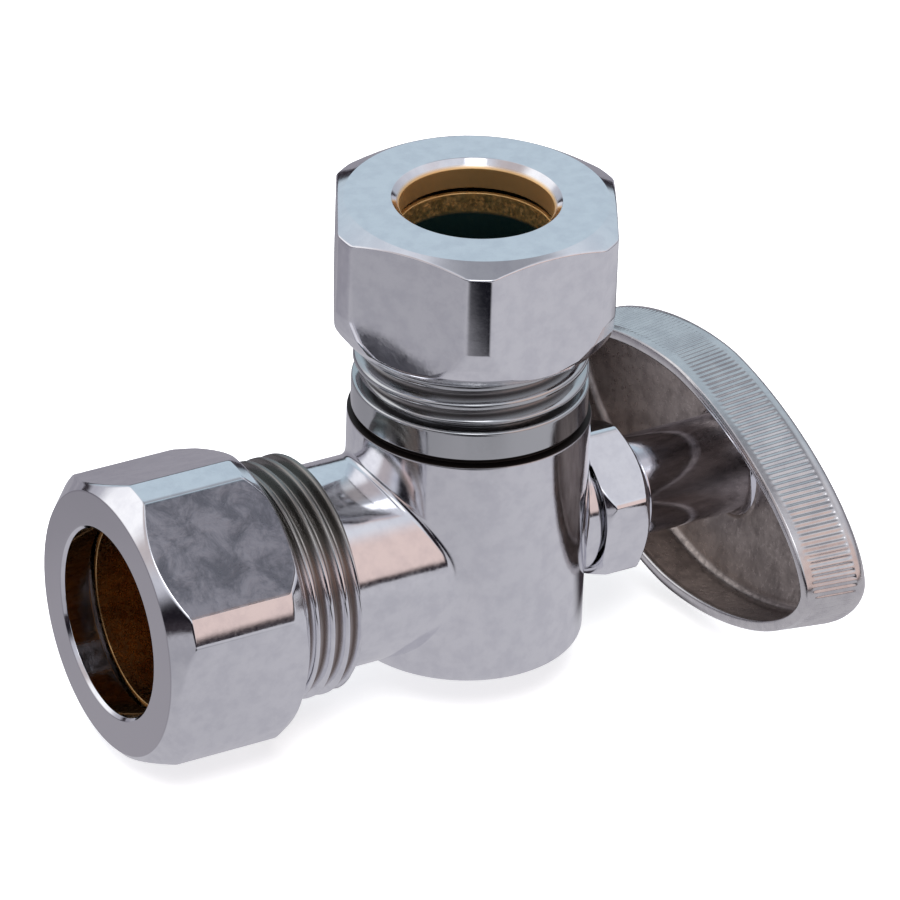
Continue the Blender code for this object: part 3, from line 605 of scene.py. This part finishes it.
# ---------------------------------------------------------------- hexagon nuts
f, b = IN_NUT
c = IN_CORNER
in_outline = fillet([
    (11.4, b, 0.15), (12.4, b - 0.75, 0.6), (c, b - 2.0, 0.8), (c, f + (c - 11.32), 0.25), (11.32, f, 0.18),
    (IN_TUBE + 0.3, f, 0.12), (IN_TUBE, f + 0.3, 0.1), (IN_TUBE, -31.6, 0.05), (8.5, -31.4, 0.05), (9.4, -30.4, 0.05),
    (9.4, -29.5, 0.05), (IN_CREST + 0.2, -29.3, 0.05), (IN_CREST + 0.2, b - 0.3, 0.08), (IN_CREST + 0.5, b, 0.1)],
    0.1, n=5, closed=True)
finish_piece(nut("inlet_nut_hexagon", in_outline, IN_NUT_AF, IN_NUT_TURN, "X", inner=11.0), in_nut_mat, "inlet_nut",
             "inlet_nut_chrome", "inlet_compression_nut")
f, b = OUT_NUT[1], OUT_NUT[0]
c = OUT_CORNER
out_outline = fillet([
    (11.03, f, 0.18), (c, f - 0.88, 0.25), (c, b + 3.7, 1.2), (12.45, b + 2.1, 0.8), (12.0, b + 1.0, 0.5), (11.2, b, 0.12),
    (10.2, b + 0.12, 0.03), (OUT_CREST + 0.2, b + 0.3, 0.03), (OUT_CREST + 0.2, 27.1, 0.05), (7.75, 27.3, 0.05), (7.75, 28.35, 0.05),
    (6.9, 29.2, 0.05), (OUT_TUBE, 29.4, 0.05), (OUT_TUBE, f - 0.7, 0.1), (7.15, f, 0.14)],
    0.1, n=5, closed=True)
finish_piece(nut("outlet_nut_hexagon", out_outline, OUT_NUT_AF, OUT_NUT_TURN, "Z", inner=11.0), out_nut_mat,
             "outlet_nut", "outlet_nut_chrome", "outlet_compression_nut")
low, high = PACK_NUT
pack_outline = fillet([
    (5.95, high, 0.15), (7.05, high - 0.8, 0.2), (7.05, low + 0.7, 0.2), (6.35, low, 0.12),
    (PACK_CREST + 0.2, low, 0.08), (PACK_CREST + 0.2, 13.2, 0.05), (4.7, 13.5, 0.05), (STEM_R + 0.3, 13.5, 0.05),
    (STEM_R + 0.3, high, 0.15)], 0.1, n=4, closed=True)
finish_piece(nut("packing_nut_hexagon", pack_outline, PACK_AF, PACK_TURN, "X", cols=480, k=0.1, inner=6.0), pack_nut_mat,
             "packing_nut", "packing_nut_chrome", "packing_nut")

# ---------------------------------------------------------- ferrules, packing
for name, inner, outer, lo, hi, axis, body, slot in (
        ("inlet_sleeve_ferrule", IN_TUBE - 0.05, 9.05, -31.0, -26.2, "X", "inlet_ferrule", "inlet_ferrule_brass"),
        ("outlet_sleeve_ferrule", OUT_TUBE - 0.03, 7.4, 24.3, 28.9, "Z", "outlet_ferrule", "outlet_ferrule_brass")):
    mid = (lo + hi) / 2
    ob = revolve(name, [(outer - 0.6, hi, 0.12), (outer, mid + 0.9, 0.5), (outer, mid - 0.9, 0.5),
                        (outer - 0.6, lo, 0.12), (inner, lo, 0.1), (inner, hi, 0.1)], axis, cols=192)
    finish_piece(ob, in_ferrule_mat if axis == "X" else out_ferrule_mat, body, slot, body)
finish_piece(revolve("stem_packing_ring", [(3.8, 12.2), (3.8, 10.5), (2.8, 10.5), (2.8, 12.5), (3.5, 12.5)], "X", 0.12,
                     96), graphite_mat, "packing", "packing_graphite", "stem_packing")
finish_piece(revolve("packing_follower_ring", [(3.8, 13.2), (3.8, 12.8), (2.8, 12.8), (2.8, 13.2)], "X", 0.06, 96),
             ferrule_mat, "packing", "follower_brass", "packing_follower")

# ---------------------------------------------------------- stem and seat disc
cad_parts["stem"].data.materials.clear()
for node, mat in (("stem", stem_mat), ("seat_disc_holder", ferrule_mat), ("seat_washer_screw", ferrule_mat),
                  ("disc_retaining_ring", steel_mat), ("handle_lock_washer", steel_mat),
                  ("seat_washer", rubber_mat)):
    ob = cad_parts[node]
    ob.data.materials.clear()
    ob.data.materials.append(mat)
shaft = revolve("stem_shaft_turned", [(STEM_R, 16.8, 0.2), (STEM_R, 6.0, 0.1), (1.2, 6.0, 0.0), (1.2, 16.8, 0.0)], "X",
                0.1, 96)
finish_piece(shaft, stem_mat, "stem", "stem_brass")


# --------------------------------------------------------------------- handle
def outline(a, b_):
    """Superellipse points, evenly spaced by length, with outward normals."""
    t = np.linspace(0, 2 * np.pi, 14401)
    u = a * np.sign(np.cos(t)) * np.abs(np.cos(t)) ** (2 / H_POWER)
    w = b_ * np.sign(np.sin(t)) * np.abs(np.sin(t)) ** (2 / H_POWER)
    d = np.concatenate([[0], np.cumsum(np.hypot(np.diff(u), np.diff(w)))])
    s = np.linspace(0, d[-1], COLS, endpoint=False)
    u, w = np.interp(s, d, u), np.interp(s, d, w)
    du, dw = np.roll(u, -1) - np.roll(u, 1), np.roll(w, -1) - np.roll(w, 1)
    length = np.hypot(du, dw)
    return u, w, dw / length, -du / length


REEDS = 188
COLS = REEDS * 8
tilt = math.radians(H_TILT)
unit_u, unit_w, nu, nw = outline(H_A[1], H_B[1])
angle = np.arctan2(unit_w / H_B[1], unit_u / H_A[1])
reed = 0.5 - 0.5 * np.cos(2 * np.pi * np.arange(COLS) / 8.0)
polar = np.arctan2(unit_w, unit_u)


def row(x, a, b_, ribs=0.0, circle=None, mix=0.0):
    """One ring of the handle: half axes a and b_, reed depth, and how far it
    has turned from the oval into a circle of the given radius."""
    u, w = unit_u * a / H_A[1], unit_w * b_ / H_B[1]
    u, w = u - nu * reed * ribs, w - nw * reed * ribs
    if circle is not None:
        u = u * (1 - mix) + circle * np.cos(polar) * mix
        w = w * (1 - mix) + circle * np.sin(polar) * mix
    return np.stack([np.full(COLS, A + x), u * math.cos(tilt) - w * math.sin(tilt),
                     u * math.sin(tilt) + w * math.cos(tilt)], -1)


def side(x):
    """Half axes of the outer band at a length x."""
    k = np.clip((x - H_BACK - 0.25) / (H_SHOULDER - 0.5 - H_BACK - 0.25), 0, 1)
    return H_A[0] + (H_A[1] - H_A[0]) * k, H_B[0] + (H_B[1] - H_B[0]) * k


rows = []
DEPTH = 0.08
# inner face of the rim, from deep in the dish out to the back edge
wall = 1.1
inner_rows = []
for x in np.linspace(24.0, 20.45, 8):
    k = (x - 20.2) / (24.25 - 20.2)
    inner_rows.append(row(x, H_A[0] - wall + 0.55 * k, H_B[0] - wall + 0.45 * k))
# floor of the dish: from the wall's foot in to the hub
floor_rows = []
foot_a, foot_b = H_A[0] - wall + 0.55, H_B[0] - wall + 0.45
for k in range(7):
    t = math.radians(90 * k / 6)
    floor_rows.append(row(24.1 + 0.85 * math.sin(t), foot_a - 0.85 * (1 - math.cos(t)), foot_b - 0.85 * (1 - math.cos(t))))
start_a, start_b = foot_a - 0.85, foot_b - 0.85
for k in np.linspace(0.04, 1.0, 26):
    scale = 1.0 - 0.62 * k
    m_ = np.clip((k - 0.15) / 0.85, 0, 1)
    m_ = m_ * m_ * (3 - 2 * m_)
    x = 24.95 + 1.45 * (1 - scale ** 2.0)
    floor_rows.append(row(x, start_a * scale, start_b * scale, 0.0, HUB_R + 0.75 + 3.0 * (1 - k), m_))
x_floor = x
for k in range(1, 8):
    t = math.radians(90 * k / 7)
    floor_rows.append(row(x_floor - 0.7 * (1 - math.cos(t)), 1, 1, 0, HUB_R + 0.75 - 0.75 * math.sin(t), 1.0))
for x in np.linspace(x_floor - 1.2, HUB_BACK + 0.34, 10):
    floor_rows.append(row(x, 1, 1, 0, HUB_R, 1.0))
for k in range(0, 6):
    t = math.radians(90 * k / 5)
    floor_rows.append(row(HUB_BACK + 0.3 * (1 - math.sin(t)), 1, 1, 0, HUB_R - 0.3 * (1 - math.cos(t)), 1.0))
for r_, x in ((4.05, HUB_BACK), (2.95, HUB_BACK), (2.85, HUB_BACK + 0.03), (2.8, HUB_BACK + 0.1), (2.8, 17.2), (2.78, 17.3),
              (1.95, 17.3), (1.95, 24.0)):
    floor_rows.append(row(x, 1, 1, 0, r_, 1.0))
# back edge, reeded band, shoulder, front
outer_rows = []
for k in range(0, 7):
    t = math.radians(180 * k / 6)
    rr = 0.5
    mid_a, mid_b = H_A[0] - 0.55, H_B[0] - 0.55
    outer_rows.append(row(H_BACK + 0.25 - 0.25 * math.sin(t), mid_a - 0.55 * math.cos(t), mid_b - 0.55 * math.cos(t)))
for x, ribs in ((20.5, 0), (20.75, 0), (20.95, 0.0), (21.05, 0.35), (21.2, 0.8), (21.4, 1.0), (22.2, 1.0), (23.0, 1.0),
                (23.8, 1.0), (24.5, 1.0), (24.75, 0.8), (24.9, 0.35), (25.0, 0.0), (25.05, 0.0)):
    a_, b_ = side(x)
    outer_rows.append(row(x, a_, b_, ribs * DEPTH))
for k in range(1, 9):
    t = math.radians(90 * k / 8)
    a_, b_ = side(25.15)
    outer_rows.append(row(25.15 + 1.1 * math.sin(t), a_ - 1.2 * (1 - math.cos(t)), b_ - 1.2 * (1 - math.cos(t))))
a_, b_ = a_ - 1.2, b_ - 1.2
for k in np.linspace(0.04, 1.0, 26):
    scale = 1.0 - 0.8 * k
    m_ = np.clip((k - 0.3) / 0.7, 0, 1)
    m_ = m_ * m_ * (3 - 2 * m_)
    x = 26.25 + 2.0 * (1 - scale ** 2.2)
    outer_rows.append(row(x, a_ * scale, b_ * scale, 0, 3.9 + 2.5 * (1 - k), m_))
x_top = x
for r_, x in ((3.78, x_top), (3.72, x_top - 0.05), (3.7, x_top - 0.15), (3.7, 25.3), (3.65, 25.2), (1.5, 25.2),
              (1.5, 20.0)):
    outer_rows.append(row(x, 1, 1, 0, r_, 1.0))
handle_grid = np.stack(floor_rows[::-1] + inner_rows + outer_rows)
handle_ob = surface([handle_grid], "handle_dish_oval")
finish_piece(handle_ob, handle_mat, "stem", "handle_chrome", "handle")
# painted shade: the dish is painted darker and browner, for the shade inside the cavity, and is rougher; the hub has
# its own polished finish
handle_ob.data.materials.append(dish_shade_mat)
handle_ob.data.materials.append(hub_mat)
count = len(handle_ob.data.polygons)
first = np.empty(count * 4, np.int32)
handle_ob.data.loops.foreach_get("vertex_index", first)
row_of = first.reshape(-1, 4).min(1) // COLS
hub_rows = 8 + 6 + 10 + 5
index = np.where(row_of < hub_rows, 2, np.where(row_of < len(floor_rows) + len(inner_rows) - 1, 1, 0)).astype(np.int32)
handle_ob.data.polygons.foreach_set("material_index", index)

# handle screw: rounded head with a cross recess
head = revolve("handle_screw_head", [
    (0.02, 28.3, 0), (1.4, 28.22, 0.6), (2.7, 27.75, 0.8), (3.3, 26.95, 0.4), (3.3, 26.4, 0.1), (0.95, 26.4, 0.05),
    (0.95, 18.4, 0.05), (0.6, 18.0, 0.05), (0.02, 18.0, 0)], "X", 0.1, 96, closed=False)
cross = []
for size in ((0.9, 4.2), (4.2, 0.9)):
    bm = bmesh.new()
    bmesh.ops.create_cube(bm, size=1.0)
    bmesh.ops.scale(bm, vec=(1.6 * MM, size[0] * MM, size[1] * MM), verts=bm.verts)
    bmesh.ops.translate(bm, vec=((A + 28.3) * MM, 0, 0), verts=bm.verts)
    mesh = bpy.data.meshes.new("cross")
    bm.to_mesh(mesh)
    bm.free()
    cut = bpy.data.objects.new("cross", mesh)
    bpy.context.scene.collection.objects.link(cut)
    mod = head.modifiers.new("cut", "BOOLEAN")
    mod.operation = "DIFFERENCE"
    mod.object = cut
    mod.solver = "EXACT"
    bpy.context.view_layer.update()
    mesh = bpy.data.meshes.new_from_object(head.evaluated_get(bpy.context.evaluated_depsgraph_get()))
    head.modifiers.clear()
    head.data = mesh
    bpy.data.objects.remove(cut, do_unlink=True)
head.data.shade_smooth()
head.data.set_sharp_from_angle(angle=math.radians(40))
finish_piece(head, screw_mat, "stem", "handle_screw_chrome", "handle_screw")


# ---------------------------------------------------------------- camera
az, el, roll = math.radians(-30.97335), math.radians(30.48863), math.radians(2.10849)
dist, tu, tv = 644.98823, -1.476243, 6.697506
right = Vector((math.cos(az), math.sin(az), 0.0))
back = Vector((math.sin(az) * math.cos(el), -math.cos(az) * math.cos(el), math.sin(el)))
up = back.cross(right)
centre = back * dist
target = right * tu + up * tv
bz = (centre - target).normalized()
rx = Vector((0, 0, 1)).cross(bz).normalized()
uy = bz.cross(rx)
cx = rx * math.cos(roll) + uy * math.sin(roll)
cy = -rx * math.sin(roll) + uy * math.cos(roll)
cam_data = bpy.data.cameras.new("camera")
cam_data.sensor_width = 36.0
cam_data.lens = 304.29
cam_data.clip_start, cam_data.clip_end = 0.05, 10.0
cam = bpy.data.objects.new("camera", cam_data)
place = Matrix((cx, cy, bz)).transposed().to_4x4()
place.translation = (centre + Vector((A, 0, 0))) * MM
cam.matrix_world = place
bpy.context.scene.collection.objects.link(cam)
bpy.context.scene.camera = cam

# ------------------------------------------------------------------ the studio
FLOOR_Z = -13.7


def plane(name, x0, x1, y0, y1, z):
    mesh = bpy.data.meshes.new(name)
    mesh.from_pydata([(x0 * MM, y0 * MM, z * MM), (x1 * MM, y0 * MM, z * MM), (x1 * MM, y1 * MM, z * MM),
                      (x0 * MM, y1 * MM, z * MM)], [], [(0, 1, 2, 3)])
    ob = bpy.data.objects.new(name, mesh)
    bpy.context.scene.collection.objects.link(ob)
    return ob


floor = plane("floor", -3000, 3000, -3000, 3000, FLOOR_Z)
fm = Nodes("pale_floor")
fm.s.inputs["Roughness"].default_value = 0.9
fm.s.inputs["Specular IOR Level"].default_value = 0.0
fm.wire(fm.blend(fm.noise(60.0, 3.0), (0.90, 0.90, 0.905), (0.93, 0.93, 0.93)), "Base Color")
fm.s.inputs["Emission Color"].default_value = (1.0, 1.0, 1.0, 1.0)
fm.s.inputs["Emission Strength"].default_value = 0.55
floor.data.materials.append(fm.mat)
floor.visible_glossy = False

# what the polished metal sees below it: a grey table with a dark edge in front
table = plane("table_for_reflections", -2500, 2500, -2500, 2500, FLOOR_Z - 0.3)
tm = Nodes("grey_table")
sep = tm.t.nodes.new("ShaderNodeSeparateXYZ")
tm.t.links.new(tm.coord.outputs["Object"], sep.inputs[0])
X, Y = sep.outputs["X"], sep.outputs["Y"]
# a dark strip in front, from about 50 mm out
front = tm.span(Y, -0.085, -0.052, 1.0, 0.0)
leftish = tm.math("ADD", tm.math("MULTIPLY", X, 1.0), tm.math("MULTIPLY", Y, -0.49))
sector = tm.math("MULTIPLY", tm.span(leftish, -0.055, -0.03, 0.0, 1.0), tm.span(leftish, 0.035, 0.06, 1.0, 0.0))
dark = tm.math("MULTIPLY", front, sector)
patchy = tm.noise(22.0, 3.0)
ground = tm.blend(tm.span(X, -0.09, 0.06, 0.0, 1.0), (0.39, 0.385, 0.42), (0.54, 0.535, 0.575))
ground = tm.blend(tm.span(Y, 0.01, 0.09, 0.0, 1.0), ground, (0.29, 0.28, 0.32))
ground = tm.blend(tm.span(patchy, 0.4, 0.65, 0.0, 0.22), ground, (0.62, 0.60, 0.64))
ground = tm.blend(dark, ground, (0.008, 0.008, 0.012))
# the shade under the handle
shade = tm.math("MULTIPLY", tm.span(X, 0.031, 0.036, 0.0, 1.0), tm.span(X, 0.075, 0.1, 1.0, 0.0))
shade = tm.math("MULTIPLY", shade, tm.math("MULTIPLY", tm.span(Y, -0.006, 0.002, 0.0, 1.0), tm.span(Y, 0.04, 0.05, 1.0, 0.0)))
ground = tm.blend(shade, ground, (0.035, 0.028, 0.034))
em = tm.t.nodes.new("ShaderNodeEmission")
tm.t.links.new(ground, em.inputs["Color"])
em.inputs["Strength"].default_value = 1.0
out = tm.t.nodes["Material Output"]
tm.t.links.new(em.outputs[0], out.inputs["Surface"])
table.data.materials.append(tm.mat)
table.visible_camera = False
table.visible_diffuse = False
table.visible_shadow = False

# the room, by direction
world = bpy.data.worlds.new("studio")
bpy.context.scene.world = world
world.use_nodes = True
wt = world.node_tree
bg = wt.nodes["Background"]
wc = wt.nodes.new("ShaderNodeTexCoord")


def w_dot(d):
    n = wt.nodes.new("ShaderNodeVectorMath")
    n.operation = "DOT_PRODUCT"
    v = Vector(d).normalized()
    n.inputs[1].default_value = v
    wt.links.new(wc.outputs["Generated"], n.inputs[0])
    return n.outputs["Value"]


def w_span(src, a, b_, lo, hi):
    n = wt.nodes.new("ShaderNodeMapRange")
    n.interpolation_type = "SMOOTHSTEP"
    for key, v in (("From Min", a), ("From Max", b_), ("To Min", lo), ("To Max", hi)):
        n.inputs[key].default_value = v
    wt.links.new(src, n.inputs["Value"])
    return n.outputs["Result"]


def w_mix(fac, one, two):
    n = wt.nodes.new("ShaderNodeMix")
    n.data_type = "RGBA"
    wt.links.new(fac, n.inputs["Factor"])
    for socket, v in ((n.inputs[6], one), (n.inputs[7], two)):
        if isinstance(v, tuple):
            socket.default_value = (*v, 1.0)
        else:
            wt.links.new(v, socket)
    return n.outputs[2]


def w_mul(a, b_):
    n = wt.nodes.new("ShaderNodeMath")
    n.operation = "MULTIPLY"
    wt.links.new(a, n.inputs[0])
    wt.links.new(b_, n.inputs[1])
    return n.outputs[0]


def lobe(colour, direction, inner, outer, strength=1.0):
    """Blend a soft round card of the given angular radii into the room."""
    fac = w_span(w_dot(direction), math.cos(math.radians(outer)), math.cos(math.radians(inner)), 0.0, strength)
    return w_mix(fac, room, colour)


height = w_dot((0, 0, 1))
room = w_mix(w_span(height, 0.0, 0.75, 0.0, 1.0), (0.42, 0.41, 0.46), (0.74, 0.76, 0.82))
room = lobe((0.54, 0.65, 0.73), (0.443, 0.739, 0.507), 18, 50)            # back right, pale blue
room = lobe((0.80, 0.64, 0.60), (0.50, -0.78, 0.36), 16, 34)              # front right, warm card
room = lobe((0.52, 0.45, 0.44), (-0.62, 0.12, 0.74), 14, 30, 0.8)         # left, warm
room = lobe((1.1, 1.1, 1.12), (-0.604, 0.595, 0.529), 12, 28)             # back left, white
room = lobe((0.05, 0.05, 0.07), (0.20, 0.10, 0.97), 6, 26, 0.6)           # dark ceiling patch
room = lobe((2.6, 2.6, 2.7), (-0.22, -0.455, 0.86), 7, 12)                # small softbox above the camera
room = lobe((0.62, 0.61, 0.65), (0.443, -0.20, 0.87), 4, 11)                # second softbox
room = lobe((0.012, 0.010, 0.014), (-0.72, -0.66, -0.02), 24, 36)         # dark side of the room
room = lobe((0.012, 0.010, 0.014), (-0.25, -0.95, 0.05), 16, 24)
# a dark line at the horizon
band = w_mul(w_span(height, -0.16, -0.06, 0.0, 1.0), w_span(height, 0.06, 0.14, 1.0, 0.0))
room = w_mix(band, room, (0.03, 0.024, 0.03))
wt.links.new(room, bg.inputs["Color"])
bg.inputs["Strength"].default_value = 1.0


def area(name, direction, distance, size, power, colour):
    light = bpy.data.lights.new(name, "AREA")
    light.shape = "DISK"
    light.size = size
    light.energy = power
    light.color = colour
    ob = bpy.data.objects.new(name, light)
    d = Vector(direction).normalized()
    ob.location = d * distance + Vector((0.012, 0, 0.005))
    ob.rotation_mode = "QUATERNION"
    ob.rotation_quaternion = d.to_track_quat("Z", "Y")
    bpy.context.scene.collection.objects.link(ob)
    return ob


area("key_softbox", (-0.3, -0.5, 0.82), 0.9, 0.5, 6.0, (1.0, 0.98, 0.96)).visible_glossy = False
area("fill_softbox", (0.75, 0.2, 0.65), 0.9, 0.6, 4.0, (0.95, 0.97, 1.0)).visible_glossy = False

scene = bpy.context.scene
scene.view_settings.view_transform = "Standard"
scene.view_settings.look = "None"
scene.view_settings.exposure = 0.0
scene.view_settings.gamma = 1.0
